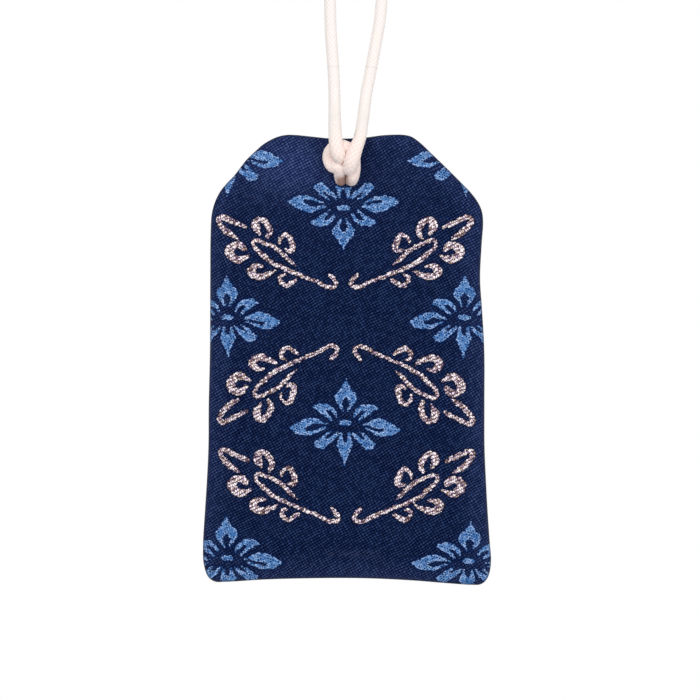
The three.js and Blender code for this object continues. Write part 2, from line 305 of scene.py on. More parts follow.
# Cells of the weave, with their slant in degrees.
THREAD_END = {"pitch": (0.5, 0.21)}
RIB = {"pitch": (0.495, 0.433), "slant": 29.5, "shift": 0.0, "run": 0.3}
PETAL_HOLE = {"pitch": (0.46, 0.4), "slant": -18}
PETAL_GLINT = {"pitch": (0.4, 0.26), "slant": 14}
GILT_BEAD = {"pitch": (0.36, 0.55), "slant": 25}
# How their threads wander: waves to the millimetre, and how far.
RIB_WANDERS, PETAL_WANDER, GILT_WANDER = [(0.2, 0.5), (1.3, 0.1)], (1.6, 0.16), (2.2, 0.4)
# A motif's edge lies that far out, less up to RAGGED from thread to thread.
EDGE_OUT, RAGGED, EDGE_SOFT = {"flower": 0.085, "vine": 0.09}, 0.24, 0.04
GILT_METAL, SATIN_ROUGHNESS, GILT_SMOOTHER = 0.25, 0.42, 0.06
WEAVE_DEPTH, WEAVE_BUMP = 0.4, 0.05


def brocade_material():
    """Satin-ground brocade: the motifs' edges are in the point attributes flower and vine, as
    distances in mm, and the weave follows the cloth's own coordinates in mm."""
    paint = Paint(bpy.data.materials.new("brocade"))
    cloth = paint.attribute("cloth", "Vector")
    thread_end, _ = paint.lattice(cloth, **THREAD_END)
    edges, motifs = {}, {}
    for name, out in EDGE_OUT.items():
        ragged = paint.math("MULTIPLY_ADD", thread_end, RAGGED, -out)
        edges[name] = paint.math("ADD", paint.attribute(name), ragged)
        motifs[name] = paint.step(edges[name], EDGE_SOFT, -EDGE_SOFT)

    # The ground is a net of threads round dark dots, with bright specks where a thread turns up.
    # It is paler where a sheen is painted on, plain and darker in a painted shade round the
    # flowers, and darker in a painted shade beside the raised vines.
    ribs = cloth
    for wander in RIB_WANDERS:
        ribs = paint.wobble(ribs, *wander)
    dot_chance, dot = paint.lattice(ribs, **RIB)
    painted_sheen = paint.attribute("painted_sheen")
    rubbed = paint.times(paint.step(dot_chance, 0.2, 0.9, 0.1, 0.7), paint.attribute("wear"))
    net = paint.mix(rubbed, paint.mix(painted_sheen, GROUND_NET, SHEEN_NET), CREASE_MARK)
    dotted = paint.times(paint.step(dot, 0.04, 0.5), paint.step(dot_chance, 0.98, 0.5, 0.7, 1.0))
    ground = paint.mix(dotted, net, paint.mix(painted_sheen, GROUND_DOT, SHEEN_DOT))
    speck_chance, speck = paint.lattice(ribs, start=0.5, **RIB)
    bright = paint.times(paint.step(speck, 0.2, 0.95), paint.step(speck_chance, 0.0, 1.0, 0.35, 1.0))
    ground = paint.mix(bright, ground, paint.mix(painted_sheen, GROUND_SPECK, SHEEN_SPECK))
    # Painted shade: round the flowers the ground is plain net, darker.
    ground = paint.mix(paint.step(edges["flower"], 0.5, 0.1, 0.0, 0.6), ground, GROUND_NET)
    # Painted shade: the ground darkens beside the raised vines.
    ground = paint.mix(paint.step(edges["vine"], 0.3, 0.05, 0.0, 0.7), ground, GROUND_DOT)

    # Petals: two blues in patches, painted glints, most at the edges, and holes between the threads.
    thread = paint.wobble(cloth, *PETAL_WANDER)
    hole_chance, hole = paint.lattice(thread, **PETAL_HOLE)
    glint_chance, glint = paint.lattice(thread, **PETAL_GLINT)
    patch = paint.step(paint.noise(cloth, 1.1), 0.38, 0.62)
    margin = paint.step(edges["flower"], -0.42, -0.08, 0.5, 1.3)
    lit = paint.step(paint.times(glint, glint_chance, margin), 0.05, 0.58)
    petal = paint.mix(lit, paint.mix(patch, BLUE_DEEP, BLUE), BLUE_GLINT)
    hole = paint.times(paint.step(hole, 0.32, 0.72), paint.step(hole_chance, 0.1, 0.65))
    petal = paint.mix(hole, petal, BLUE_HOLE)

    # Vines: flat gilt thread as leaning beads, with painted glints on them and painted shade between
    # them.
    twisted = paint.wobble(cloth, *GILT_WANDER)
    bead_chance, bead = paint.lattice(twisted, **GILT_BEAD)
    gilt = paint.step(paint.noise(cloth, 1.3), 0.3, 0.7, 0.55, 1.35)
    shine = paint.times(bead, paint.math("MULTIPLY_ADD", bead_chance, 0.8, 0.3), gilt)
    gold = paint.mix(paint.step(paint.noise(twisted, 2.4, 1), 0.42, 0.6), GOLD_ROSE, GOLD_OCHRE)
    lame = paint.mix(paint.step(shine, 0.02, 0.33), GOLD_SHADE, gold)
    lame = paint.mix(paint.step(shine, 0.24, 0.54), lame, GOLD_GLINT)

    colour = paint.mix(motifs["flower"], ground, petal)
    colour = paint.mix(motifs["vine"], colour, lame)
    weave = paint.math("MULTIPLY_ADD", dot, -WEAVE_DEPTH, WEAVE_DEPTH)
    height = paint.math("MAXIMUM", weave, paint.times(bead, motifs["vine"]))
    # All colours darken in a painted shade where the cloth turns in to the seam.
    paint.shade(
        Base_Color=paint.mix(paint.attribute("turned"), colour, GROUND_DOT),
        Metallic=paint.times(motifs["vine"], GILT_METAL),
        Roughness=paint.math("MULTIPLY_ADD", motifs["vine"], -GILT_SMOOTHER, SATIN_ROUGHNESS),
        Specular_IOR_Level=0.08,
        Specular_Tint=SATIN_TINT,
        Sheen_Weight=0.03,
        Sheen_Tint=SATIN_TINT,
    )
    paint.bump(height, WEAVE_BUMP)
    return paint.owner


STREAK_SHARE = 0.7  # of the grain, the rest being flecks
FLECK_FINER = 2.7


def fibre_material(name, dark, light, grain, roughness, depth, stretch=(1, 1, 1)):
    """A material of fibres or grain: streaks between two colours, and a bump that follows. grain
    is in waves to the metre, depth in mm."""
    paint = Paint(bpy.data.materials.new(name))
    place = paint.node("TexCoord")["Object"]
    streak = paint.noise(place, grain, 5, stretch)
    fleck = paint.times(paint.noise(place, grain * FLECK_FINER, 3), 1 - STREAK_SHARE)
    both = paint.math("MULTIPLY_ADD", streak, STREAK_SHARE, fleck)
    share = paint.step(both, 0.32, 0.68)
    paint.shade(Base_Color=paint.mix(share, dark, light), Roughness=roughness)
    paint.bump(both, depth)
    return paint.owner


BRAID = braid_material()
BROCADE = brocade_material()
THREAD = fibre_material("thread", srgb(8, 16, 52), srgb(30, 42, 84), 4200, 0.6, 0.02)
BOARD = fibre_material("board", srgb(176, 164, 142), srgb(204, 194, 172), 900, 0.9, 0.03)
WADDING = fibre_material("wadding", srgb(222, 216, 204), srgb(242, 238, 230), 500, 1, 0.2)
PAPER = fibre_material("paper", srgb(228, 223, 208), srgb(246, 242, 232), 700, 0.85, 0.02, (1, 1, 0.25))
WOOD = fibre_material("wood", srgb(186, 142, 96), srgb(222, 186, 140), 420, 0.6, 0.04, (3, 3, 0.08))


# Cord

STRAND_RADIUS, KNOT_RADIUS = 0.98, 0.82
RING_STEP = 0.13
RING_SIDES = 48
CARRIERS = 8  # yarns that spiral each way round the braid
BRAID_PITCH = 0.78
BRAID_RELIEF, BRAID_MEAN = 0.07, 0.6  # the yarns' height, and the share of it within the radius
YARN_ACROSS, YARN_ALONG = 0.7, 0.4  # powers that flatten a yarn's back
TIP, TIP_LEAST = 0.6, 0.06  # rounded length of a cut and sealed end, and the least share of it

# The strands go up from the hitch to the end knot, at y 0.
LEFT_STRAND = [
    (-2.0, 9), (-2.2, 12.5), (-2.45, 15.8), (-2.6, 19.2), (-2.65, 23),
    (-2.6, 28), (-2.2, 34), (-1.4, 40), (-1.0, 44),
]
RIGHT_STRAND = [
    (3.8, 9), (4.46, 12.5), (5.07, 15.8), (5.65, 19.2), (5.95, 23),
    (5.7, 30), (4.4, 35), (2.3, 40), (1.0, 44),
]
# The hitch, with the radius to which the braid is pressed: down in front, back up behind the
# bight and over the mouth, down the back, out through the hole, round the bight in front, and
# the same way back up.
HITCH = [
    (-1.95, 0, 7.75, 0.98), (-1.92, -0.5, 5.6, 0.99), (-1.88, -2.1, 3.2, 1.02),
    (-1.83, -4.1, 1.3, 1.08), (-1.74, -5.6, -0.6, 1.12), (-1.57, -6.2, -2.3, 1.17),
    (-1.24, -5.8, -3.5, 1.22), (-1.12, -4.8, -4.0, 1.12), (-1.3, -3.2, -3.45, 0.9),
    (-1.5, -2.6, -2.1, 0.86), (-1.7, -2.3, -0.2, 0.86), (-1.75, -1.6, 0.75, 0.86),
    (-1.75, 0, 1.2, 0.86), (-1.7, 1.6, 0.75, 0.86), (-1.5, 2.6, -0.9, 0.86),
    (-1.25, 2.75, -3.4, 0.86), (-1.05, 2.65, -5.6, 0.86), (-0.8, 1.9, -7.3, 0.84),
    (-0.64, 0, -7.7, 0.82), (-0.85, -1.8, -7.5, 0.97), (-0.98, -3.0, -6.55, 1.07),
    (-1.2, -4.1, -5.4, 1.26), (-2.15, -3.65, -5.4, 1.05), (-2.75, -3.45, -4.75, 0.96),
    (-2.98, -3.45, -3.8, 0.92), (-2.7, -3.8, -2.8, 0.9), (-1.85, -4.15, -2.1, 0.95),
    (-0.9, -4.5, -2.05, 1.1), (0.15, -4.8, -2.5, 1.2), (1.05, -4.4, -2.8, 1.05),
    (1.45, -3.85, -3.4, 0.9), (1.5, -3.55, -4.6, 0.9), (1.45, -3.6, -5.8, 0.97),
    (1.17, -3.8, -6.9, 1.07), (0.93, -2.5, -7.6, 0.98), (0.74, 0, -7.2, 0.82),
    (0.9, 1.9, -6.95, 0.84), (1.05, 2.65, -5.6, 0.86), (1.35, 2.75, -3.4, 0.86),
    (1.95, 2.6, -0.9, 0.86), (2.4, 1.6, 0.75, 0.86), (2.5, 0, 1.2, 0.86),
    (2.5, -1.6, 0.75, 0.86), (2.35, -2.3, -0.2, 0.86), (1.75, -2.5, -1.6, 0.86),
    (1.0, -2.65, -3.4, 0.86), (0.65, -3.2, -5.1, 1.0), (0.65, -4.6, -5.75, 1.22),
    (0.92, -5.85, -4.7, 1.27), (1.53, -6.2, -2.8, 1.18), (2.4, -5.6, -0.6, 0.97),
    (2.66, -4.1, 1.3, 0.98), (2.92, -2.1, 3.2, 0.98), (3.22, -0.5, 5.6, 0.98),
    (3.52, 0, 7.75, 0.98),
]
# The end knot is one overhand knot of both strands: up, once round, and out through the turn.
# Each point of its spine has the direction in which the right strand lies beside it.
KNOT_SPINE = [
    ((0, 0.35, 45.8), (1, 0, 0)), ((0, 0.8, 47.4), (1, 0, 0)), ((0, 0.9, 49.2), (1, 0, -0.2)),
    ((0.6, 0.8, 50.7), (0.7, 0, -0.7)), ((1.7, 0.1, 51.0), (0.2, 0, -1)),
    ((1.9, -1.5, 50.4), (0, 0, -1)), ((0, -2.5, 49.8), (0, 0, -1)),
    ((-1.9, -1.6, 49.2), (0, 0, -1)), ((-2.45, 0.2, 48.6), (0, 0, -1)),
    ((-1.7, 1.9, 48.0), (0, 0, -1)), ((0, 2.5, 47.5), (0, 0, -1)),
    ((1.9, 1.7, 47.0), (0, 0, -1)), ((2.4, 0, 46.8), (-0.2, 0, -1)),
    ((1.6, -1.0, 46.7), (-0.6, -0.6, -0.6)), ((0.6, -1.0, 47.8), (-1, -0.5, 0)),
    ((0.1, -0.85, 49.6), (-1, 0, 0)), ((0, -0.4, 51.4), (-1, 0, 0)),
]
TAIL_SPREAD = [(1.1, 53.4), (1.35, 56.0), (1.9, 59.5)]
LEFT_TAIL_LEAN, RIGHT_TAIL_LEAN = 0.3, -0.2  # y at the tips

# A brown shade is painted on the braid where it is drawn through the hole, most between its two legs.
HOLE_SHADE_HEIGHTS, HOLE_SHADE_LEFT, HOLE_SHADE_RIGHT, HOLE_SHADE_LEAST = (-5.9, -6.9), (-1.9, -1.2), (1.1, -0.3), 0.1
KNOT_WARM_SHADE, KNOT_WARM_SHADE_HEIGHTS = 0.65, (0.8, -2.6)  # the braid is painted pinker where it is knotted, a warm painted shade

STRAND_DEPTH = 0.4  # how far from y 0 a strand may be
CELL_CORNERS = [(0, 0), (1, 0), (1, 1), (0, 1)]
CAP_ON_MAP, CAP_HEIGHT = 0.999, 0.001  # where a tube's ends lie on the bake map

LOW_CUT = 11.3  # where the strands pass into the hitch piece
TOP_CUT = 41.9  # and into the knot's pieces


def with_radius(points, radius):
    return [(*point, radius) for point in points]


def knot_side(side):
    """One strand's way through the end knot, side -1 for the left strand and 1 for the right."""
    spine = np.array([point for point, _ in KNOT_SPINE], float)
    beside = unit([direction for _, direction in KNOT_SPINE])
    points = (spine + side * KNOT_RADIUS * beside).tolist()
    lean = LEFT_TAIL_LEAN if side < 0 else RIGHT_TAIL_LEAN
    tail = [(-side * x, lean * i / (len(TAIL_SPREAD) - 1), z) for i, (x, z) in enumerate(TAIL_SPREAD)]
    return with_radius(points, KNOT_RADIUS) + with_radius(tail, STRAND_RADIUS)


def strand(points):
    return with_radius([(x, 0, z) for x, z in points], STRAND_RADIUS)


def braid_height(turn, along):
    """Height of a round braid, 0 in its gaps to 1 on its crowns: yarns spiral both ways and
    pass over and under each other in turn."""
    one_way = CARRIERS * turn + along / BRAID_PITCH
    other_way = CARRIERS * turn - along / BRAID_PITCH
    over = (np.floor(one_way) + np.floor(other_way)) % 2 == 0
    across = np.where(over, one_way, other_way) % 1
    lengthwise = np.where(over, other_way, one_way) % 1
    return np.sin(np.pi * across) ** YARN_ACROSS * np.sin(np.pi * lengthwise) ** YARN_ALONG


def carried_sides(line):
    """Tangents of a line and a side direction carried along it without twist."""
    tangents = unit(np.gradient(line, axis=0))
    sides = np.empty_like(line)
    side = np.cross(tangents[0], (0, 1, 0))
    for i, tangent in enumerate(tangents):
        side = side - tangent * (side @ tangent)
        side /= np.linalg.norm(side)
        sides[i] = side
    return tangents, sides


# The whole cord is one line, from the left strand's tail to the right strand's.
cord_points = knot_side(-1)[::-1] + strand(LEFT_STRAND)[::-1] + HITCH
cord_points += strand(RIGHT_STRAND) + knot_side(1)
cord_line = smooth_line(cord_points, LINE_SPAN)
cord_line = evenly(cord_line, round(length_along(cord_line)[-1] / RING_STEP) + 1)
cord_along = length_along(cord_line)
cord_tangents, cord_sides = carried_sides(cord_line[:, :3])
from_tip = np.minimum(cord_along, cord_along[-1] - cord_along)
tip_share = np.clip(from_tip / TIP, TIP_LEAST, 1)
cord_radius = cord_line[:, 3] * np.sqrt(tip_share * (2 - tip_share))
# A warm shade painted on the braid where it is knotted.
cord_warm_shade = KNOT_WARM_SHADE * smoothstep(*KNOT_WARM_SHADE_HEIGHTS, cord_line[:, 2])
# Painted shade where the braid goes into the hole.
cord_hole_shade = smoothstep(*HOLE_SHADE_HEIGHTS, cord_line[:, 2])


def ring_directions(tangents, sides, count):
    """Directions outward from a line, so many round each of its points."""
    angle = 2 * np.pi * np.arange(count)[None, :, None] / count
    return np.cos(angle) * sides[:, None] + np.sin(angle) * np.cross(tangents, sides)[:, None]


def tube(name, line, tangents, sides, radius, material, values=None):
    """A closed tube round a line, with one radius for each ring and each of its points."""
    count, corners_round = radius.shape
    outward = ring_directions(tangents, sides, corners_round)
    points = (line[:, None] + outward * radius[..., None]).reshape(-1, 3)
    rings = np.arange(len(points)).reshape(radius.shape)
    faces = [face for pair in zip(rings, rings[1:]) for face in band(*pair)]
    cells = np.stack(np.meshgrid(np.arange(corners_round), np.arange(count - 1)), -1)
    places = (cells.reshape(-1, 1, 2) + CELL_CORNERS) / radius.shape[::-1]
    places = places.reshape(-1, 2).tolist()
    for end in rings[[0, -1]].tolist():
        faces.append(end)
        places += [(j / corners_round, CAP_ON_MAP + CAP_HEIGHT * (j % 2)) for j in range(corners_round)]
    return make_piece(name, points, faces, material, values, places)


def cord_piece(name, first, last, bend, *solids):
    """The braided tube of the cord from one of its rings to another, with flat ends. It stands
    for those solids. bend is not used."""
    rings = slice(first, last + 1)
    turn = np.arange(RING_SIDES) / RING_SIDES
    relief = braid_height(turn[None, :], cord_along[rings, None])
    radius = cord_radius[rings, None] + BRAID_RELIEF * (relief - BRAID_MEAN) * tip_share[rings, None]
    route = cord_line[rings, :3], cord_tangents[rings], cord_sides[rings]
    x = cord_line[rings, None, 0] + radius * ring_directions(*route[1:], RING_SIDES)[..., 0]
    # The painted shade in the hole is strongest between the two legs.
    between = HOLE_SHADE_LEAST + (1 - HOLE_SHADE_LEAST) * smoothstep(*HOLE_SHADE_RIGHT, x)
    hole_shade = cord_hole_shade[rings, None] * between * smoothstep(*HOLE_SHADE_LEFT, x)
    warm_shade = np.repeat(cord_warm_shade[rings], RING_SIDES)
    values = {"relief": relief.ravel(), "hole_shade": hole_shade.ravel(), "warm_shade": warm_shade}
    piece = tube(name, *route, radius, BRAID, values)
    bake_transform(piece)
    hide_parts(*solids)
    return piece


def crossing(height, come_from_right):
    """The ring where a strand passes that height."""
    rings = np.arange(len(cord_line))
    half = len(cord_line) // 2
    mine = rings[half:] if come_from_right else rings[:half]
    strand_only = mine[np.abs(cord_line[mine, 1]) < STRAND_DEPTH]
    return int(strand_only[np.argmin(np.abs(cord_line[strand_only, 2] - height))])


left_top, left_low = crossing(TOP_CUT, False), crossing(LOW_CUT, False)
right_low, right_top = crossing(LOW_CUT, True), crossing(TOP_CUT, True)
final_ring = len(cord_line) - 1

# Where the cord bends: the bodies above and below, and the heights between which it passes from
# the one to the other.
KNOT_BEND = ("hanger", "upper_strands", 45.4, 42.0)
TWIST_BEND = ("upper_strands", "lower_strands", 41.5, 13.0)
SWING_BEND = ("lower_strands", "bag", 11.2, 5.4)

left_end = cord_piece("knot_and_tail_left_cord", 0, left_top, KNOT_BEND, "end_knot", "right_tail")
left_strand = cord_piece(
    "loop_left_strand", left_top, left_low, TWIST_BEND, "left_strand_lower", "left_strand_upper"
)
hitch = cord_piece("hitch_cord", left_low, right_low, SWING_BEND, "cord_hitch")
right_strand = cord_piece(
    "loop_right_strand", right_low, right_top, TWIST_BEND, "right_strand_lower", "right_strand_upper"
)
right_end = cord_piece("knot_and_tail_right_cord", right_top, final_ring, KNOT_BEND, "left_tail")


# Pouch

# Outline, as (x, z): the mouth and the foot from left to right, the sides from top to bottom.
MOUTH_EDGE = [
    (-11.5, -0.3), (-9.9, 0.05), (-8.3, 0.03), (-6, -0.2), (-3, -0.5), (0, -0.55),
    (3.2, -0.38), (6, -0.02), (8.3, 0.1), (9.7, 0.05), (11.0, -0.28),
]
LEFT_EDGE = [
    (-11.5, -0.3), (-13.7, -1.45), (-15.2, -2.75), (-16.6, -4.1), (-18.7, -6.8), (-20.0, -8.15),
    (-21.05, -9.5), (-21.9, -11.25), (-22.4, -13.2), (-22.6, -17), (-22.65, -24), (-22.7, -36),
    (-22.9, -45), (-22.95, -52), (-23.2, -57.5), (-23.55, -63), (-23.85, -68.2), (-23.75, -71.4),
    (-23.0, -73.65),
]
FOOT_EDGE = [
    (-23.0, -73.65), (-21.9, -74.45), (-20.2, -74.5), (-13.2, -74.1), (-5.2, -73.9),
    (2.8, -73.9), (10.7, -74.25), (17.1, -74.75), (21.0, -75.0), (22.5, -74.9), (23.5, -74.05),
]
RIGHT_EDGE = [
    (11.0, -0.28), (12.6, -1.45), (14.0, -2.8), (16.8, -5.5), (19.45, -8.15), (20.75, -9.5),
    (21.9, -11.0), (22.65, -12.6), (22.88, -14.5), (22.65, -18), (22.38, -24), (22.7, -29),
    (23.08, -36), (23.1, -45), (23.12, -52), (23.35, -57.5), (23.65, -63), (24.0, -68),
    (24.2, -70.6), (24.05, -72.5), (23.5, -74.05),
]
EDGE_CROWN, EDGE_RUN = 1.0, 6.0
MOUTH_CROWN, MOUTH_RUN = 1.8, 8.0
MOUTH_FLAT, MOUTH_TAPER = 9.55, 14.0
RIM = 0.8  # width of the rounded edge
SEAM_HALF_GAP = 0.2
TUCK, TUCK_HALF_GAP = 0.35, 0.15  # how the cloth's edge turns in at the seam
CLOTH = 0.5
HOLE_DROP, HOLE_WIDTH, HOLE_HEIGHT = 7.45, 3.4, 1.6
RAISE = {"flower": 0.06, "vine": 0.09}  # how far the motifs stand out
CREASE_Z, CREASE_HALF_WIDTH = -69.7, 0.5
CREASE_LEFT, CREASE_RIGHT = (-3.9, -3.0), (6.0, 5.2)
SHEEN_SHOULDERS = [((-9, -4.5), 0.85), ((9, -4.5), 0.2)]  # middles as (x, z), and how strong the painted sheen is there
SHOULDER_REACH = (9.0, 5.5)
# The painted sheen along the outline: how strong, and over what width.
EDGE_SHEEN, EDGE_SHEEN_RUN = 0.35, 5.0
RIM_SHADE, RIM_SHADE_RUN = 0.75, 0.4  # how dark the painted shade is where the cloth turns in to the seam, and over what width
RAISE_EDGE = (0.05, -0.25)  # distances from a motif's edge between which its threads rise
HOLE_DRAWN, HOLE_TURN = 0.8, 0.6  # the cloth at the hole's edge: drawn together, and turned in
# The cloth's unevenness: heights of its broad and its slanting waves, with their lengths and starts.
BROAD_WAVE, BROAD_LENGTHS, BROAD_STARTS = 0.09, (4.9, 6.7), (0.6, 0.4)
SLANT_WAVE, SLANT_LENGTH, SLANT = 0.05, 2.9, 0.8
CALM = (2.5, 9.0)  # distances from the hole between which they set in
PUCKER, PUCKERS, PUCKER_START = 0.10, 7, 0.8
PUCKER_RING, PUCKER_BAND = 6.5, 3.0  # how far from the hole the puckers are, and over what width
BACK_SHIFT = (2.4, 3.2)  # how far along the pattern the back was cut

COLUMNS, ROWS = 216, 340  # the cloth's cells, about 0.2 mm
LINING = 4  # cells of the cloth to each cell of its inner side
HOLE_BLOCK = (3, 5)  # lining cells to each side of the hole's middle, down and across
HOLE_RINGS = 7
HOLE_MARGIN = 0.82  # how far round the hole its edge hides the motifs, in its widths
RIM_RINGS = 6
FACE_ON_MAP, LINING_ON_MAP = 1 / 80, 1 / 150  # scales of the cloth's two sides on the bake map
LINING_CORNER = (0.66, 0.02)

# Motifs are strokes of (x, z, width). The flower is mirrored but for its middle strokes and the
# one that narrows the slit in its right petal.
FLOWER_MIDDLE = [
    [(0, 7.35, 0.1), (0, 6.85, 0.45), (0, 6.3, 0.85), (0, 5.55, 1.7), (0, 5.1, 1.75)],
    [(0, -7.1, 0.05), (0, -6.0, 0.7), (0, -4.9, 1.5), (0, -4.2, 2.1)],
    [(-1.1, 0, 0.1), (-0.5, 0, 0.85), (0.5, 0, 0.85), (1.1, 0, 0.1)],
    [(6.9, -0.8, 0.9), (6.0, -0.55, 0.75), (5.2, -0.45, 0.7), (4.4, -0.3, 0.45), (3.6, -0.35, 0.2)],
]
FLOWER_HALF = [
    [(-0.5, 4.95, 1.4), (-1.05, 4.25, 1.6), (-1.1, 3.45, 0.85), (-0.78, 2.75, 0.5), (-0.42, 2.0, 0.3)],
    [(-0.7, -3.6, 1.3), (-0.72, -2.8, 0.7), (-0.66, -1.75, 0.35)],
    [(-9.35, -1.13, 0.05), (-8.5, -1.03, 0.85), (-7.8, -1.05, 1.75), (-7.6, -1.05, 1.95)],
    [(-7.1, -0.35, 1.3), (-6.2, 0.0, 1.25), (-5.25, 0.3, 1.0), (-4.25, 0.05, 0.7), (-2.9, -0.33, 0.2)],
    [(-7.2, -1.6, 1.0), (-6.6, -1.75, 0.8), (-5.75, -1.8, 0.65), (-4.9, -1.5, 0.55), (-3.3, -0.8, 0.25)],
    [(-5.43, 2.35, 0.1), (-4.75, 2.52, 0.9), (-3.9, 2.5, 1.35)],
    [(-3.9, 2.5, 1.35), (-2.95, 2.6, 0.9), (-2.2, 2.2, 0.72), (-1.73, 1.6, 0.55), (-1.43, 1.03, 0.3)],
    [(-3.95, 2.05, 1.1), (-3.35, 1.45, 0.7), (-2.8, 0.95, 0.5), (-2.28, 0.4, 0.25)],
    [(-5.0, -3.35, 0.15), (-4.3, -3.6, 1.3), (-3.75, -3.5, 1.6), (-3.7, -4.4, 0.1)],
    [(-3.85, -3.0, 1.0), (-3.25, -2.1, 0.5), (-2.35, -1.45, 0.25)],
    [(-3.4, -3.4, 1.2), (-2.75, -3.0, 0.9), (-2.1, -2.55, 0.75), (-1.6, -2.07, 0.55), (-1.2, -1.6, 0.3)],
]
# The left vine, with z from the bend of its hook near the middle.
VINE = [
    [(-16.32, 10.1, 0.6), (-17.12, 10.5, 0.75), (-18.23, 10.98, 0.8), (-19.25, 11.47, 0.85),
     (-20.18, 11.86, 0.9), (-20.91, 11.47, 0.9), (-20.61, 10.63, 0.85), (-19.93, 9.79, 0.95),
     (-18.99, 9.0, 0.95), (-18.2, 8.5, 0.75), (-17.6, 8.1, 0.35)],
    [(-14.02, 8.91, 0.4), (-14.36, 9.61, 0.95), (-14.66, 10.23, 1.4), (-14.49, 11.11, 1.1),
     (-13.76, 11.42, 1.05), (-12.96, 10.94, 1.0), (-12.49, 10.14, 1.0), (-12.28, 9.35, 0.95),
     (-12.53, 8.69, 0.8), (-12.74, 8.29, 0.5)],
    [(-10.71, 7.37, 0.45), (-10.67, 7.98, 0.55), (-10.2, 8.56, 0.6), (-9.61, 8.82, 0.75),
     (-8.97, 8.33, 0.9), (-8.72, 7.54, 0.95), (-8.46, 6.84, 1.05), (-8.59, 6.22, 0.95),
     (-9.1, 6.0, 0.75), (-9.57, 6.22, 0.5)],
    [(-16.53, 6.35, 0.9), (-17.21, 6.97, 1.2), (-18.23, 6.97, 1.2), (-18.99, 6.09, 1.6),
     (-18.57, 5.12, 1.4), (-17.55, 4.51, 1.3), (-16.7, 4.77, 0.95), (-15.76, 5.21, 0.35)],
    [(-13.47, 3.4, 0.5), (-14.49, 3.45, 0.85), (-15.42, 2.65, 1.35), (-14.83, 1.77, 1.2),
     (-13.81, 1.6, 1.2), (-12.79, 1.95, 0.9), (-12.02, 2.22, 0.7), (-11.3, 2.69, 0.3)],
    [(-9.86, 1.9, 0.5), (-10.46, 1.73, 0.6), (-10.67, 1.2, 0.65), (-10.37, 0.58, 0.75),
     (-9.69, 0.09, 0.8), (-9.01, 0.32, 0.8), (-8.33, 0.76, 0.7), (-7.87, 1.02, 0.5)],
    [(-8.04, 3.56, 0.15), (-8.84, 4.2, 0.55), (-9.65, 5.0, 0.7), (-10.45, 5.85, 0.75),
     (-11.4, 6.55, 0.7), (-12.53, 7.15, 0.65), (-13.47, 7.54, 0.65), (-14.32, 7.85, 0.65),
     (-14.83, 7.76, 0.6), (-15.04, 7.23, 0.65), (-14.74, 6.53, 0.65), (-14.06, 5.82, 0.75),
     (-13.3, 5.21, 0.75), (-12.36, 4.33, 0.75), (-11.34, 3.7, 0.72), (-10.3, 3.18, 0.7),
     (-9.3, 2.72, 0.68), (-8.5, 2.38, 0.66), (-7.74, 2.12, 0.64), (-6.97, 1.73, 0.62),
     (-5.61, 1.2, 0.62), (-4.34, 0.67, 0.64), (-3.06, -0.03, 0.68), (-2.38, -0.21, 0.7),
     (-1.79, -0.17, 0.72), (-1.3, 0.25, 0.7), (-1.45, 0.85, 0.75), (-1.87, 1.38, 0.78),
     (-2.38, 1.99, 0.45)],
]
# Motifs as (x, z, stretch across, stretch up), and a flower's tilt in degrees. One that is
# stretched by a negative number is mirrored.
FLOWERS = [
    (-0.4, -12.2, 1.01, -0.96, 0), (-0.13, -47.92, 1, 1, -1), (-19.67, -3.38, 1, 1, 0),
    (20.0, -3.25, 1.05, 1, 0), (-19.7, -30.38, 0.96, 0.95, 1), (19.65, -30.42, 1, 0.95, -1.2),
    (-19.75, -70.4, 1, 0.96, 1.5), (20.38, -70.9, 1.03, 0.9, -3.2),
]
VINES = [
    (-0.36, -25.2, 1, 0.965), (-0.5, -25.2, -1.0255, 0.965), (-0.15, -35.36, 1, -1.05),
    (0.15, -35.45, -1, -1.07), (0, -64.1, 1, 0.985), (0, -64.17, -1.012, 0.97),
]
NO_MOTIF = 5.0  # a distance that is clear of every motif
STROKE_REACH = 1.0  # how far past a stroke's width its distance counts
BLOCK = 2000  # points that are compared with a line at a time


def placed(strokes, x, z, across=1.0, up=1.0, tilt=0.0):
    """The strokes stretched, tilted by that many degrees, and moved to (x, z)."""
    c, s = math.cos(math.radians(tilt)), math.sin(math.radians(tilt))
    moved = []
    for line in strokes:
        stretched = [(across * px, up * pz, w) for px, pz, w in line]
        moved.append([(c * px - s * pz + x, s * px + c * pz + z, w) for px, pz, w in stretched])
    return moved


whole_flower = FLOWER_MIDDLE + FLOWER_HALF + placed(FLOWER_HALF, 0, 0, across=-1)
MOTIFS = {
    "flower": [stroke for flower in FLOWERS for stroke in placed(whole_flower, *flower)],
    "vine": [stroke for vine in VINES for stroke in placed(VINE, *vine)],
}


def distance_to_strokes(points, strokes):
    """Distance of (x, z) points from the nearest stroke's edge, negative inside it."""
    field = np.full(len(points), NO_MOTIF)
    for stroke in strokes:
        line = smooth_line(stroke, STROKE_SPAN)
        reach = line[:, 2].max() + STROKE_REACH
        low, high = line[:, :2].min(0) - reach, line[:, :2].max(0) + reach
        near = np.flatnonzero(((points > low) & (points < high)).all(1))
        for a, b in zip(line, line[1:]):
            run = b[:2] - a[:2]
            share = np.clip((points[near] - a[:2]) @ run / max(run @ run, 1e-9), 0, 1)
            off = points[near] - a[:2] - share[:, None] * run
            edge = np.linalg.norm(off, axis=1) - (a[2] + share * (b[2] - a[2])) / 2
            field[near] = np.minimum(field[near], edge)
    return field


def distance_to_line(points, line):
    nearest = []
    for start in range(0, len(points), BLOCK):
        off = points[start:start + BLOCK, None, :] - line[None]
        nearest.append(np.sqrt((off ** 2).sum(2).min(1)))
    return np.concatenate(nearest)


